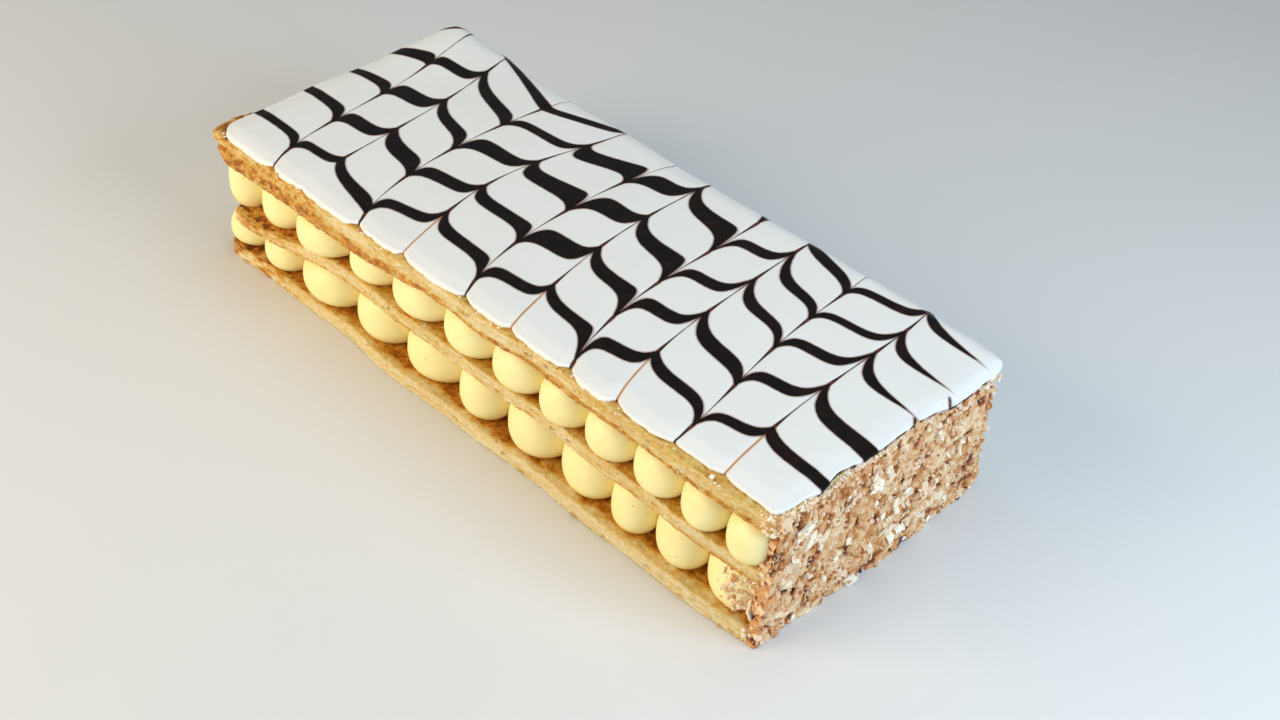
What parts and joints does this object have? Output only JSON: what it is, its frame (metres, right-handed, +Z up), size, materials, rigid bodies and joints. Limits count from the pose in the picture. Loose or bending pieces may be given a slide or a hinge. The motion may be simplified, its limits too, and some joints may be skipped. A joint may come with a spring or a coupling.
{
  "type": "mille feuille",
  "caption": "Whole rectangular layered puff pastry: sheets with piped cream balls between them, feathered icing on top and crumbs on one short end.",
  "frame": {"origin": "middle of the base, on the surface the pastry stands on", "axes": "+X along the pastry towards its crumbed short end, +Z up, -Y the long side that the open end's hanging edge is on"},
  "size_m": [0.2669, 0.1236, 0.058],
  "materials": {
    "pastry": "baked, matte, flaky, caramelised on its top",
    "cream": "smooth, soft sheen",
    "icing": "semi-gloss fondant with dark feathered lines",
    "crumbs": "rough, matte crumbs"
  },
  "bodies": {
    "root": {"pastry_bottom": "pastry", "pastry_middle": "pastry", "pastry_top": "pastry", "icing": "icing", "crumb_coat": "crumbs", "cream_core_lower": "cream", "cream_core_upper": "cream", "cream_lower_front_01": "cream", "cream_lower_front_02": "cream", "cream_lower_front_03": "cream", "cream_lower_front_04": "cream", "cream_lower_front_05": "cream", "cream_lower_front_06": "cream", "cream_lower_front_07": "cream", "cream_lower_front_08": "cream", "cream_lower_front_09": "cream", "cream_lower_front_10": "cream", "cream_lower_front_11": "cream", "cream_upper_front_01": "cream", "cream_upper_front_02": "cream", "cream_upper_front_03": "cream", "cream_upper_front_04": "cream", "cream_upper_front_05": "cream", "cream_upper_front_06": "cream", "cream_upper_front_07": "cream", "cream_upper_front_08": "cream", "cream_upper_front_09": "cream", "cream_upper_front_10": "cream", "cream_upper_front_11": "cream", "cream_upper_front_12": "cream", "cream_lower_back_01": "cream", "cream_lower_back_02": "cream", "cream_lower_back_03": "cream", "cream_lower_back_04": "cream", "cream_lower_back_05": "cream", "cream_lower_back_06": "cream", "cream_lower_back_07": "cream", "cream_lower_back_08": "cream", "cream_lower_back_09": "cream", "cream_lower_back_10": "cream", "cream_lower_back_11": "cream", "cream_upper_back_01": "cream", "cream_upper_back_02": "cream", "cream_upper_back_03": "cream", "cream_upper_back_04": "cream", "cream_upper_back_05": "cream", "cream_upper_back_06": "cream", "cream_upper_back_07": "cream", "cream_upper_back_08": "cream", "cream_upper_back_09": "cream", "cream_upper_back_10": "cream", "cream_upper_back_11": "cream", "cream_upper_back_12": "cream", "cream_lower_end_1": "cream", "cream_upper_end_1": "cream", "cream_lower_end_2": "cream", "cream_upper_end_2": "cream", "cream_lower_end_3": "cream", "cream_upper_end_3": "cream"}
  },
  "joints": []
}
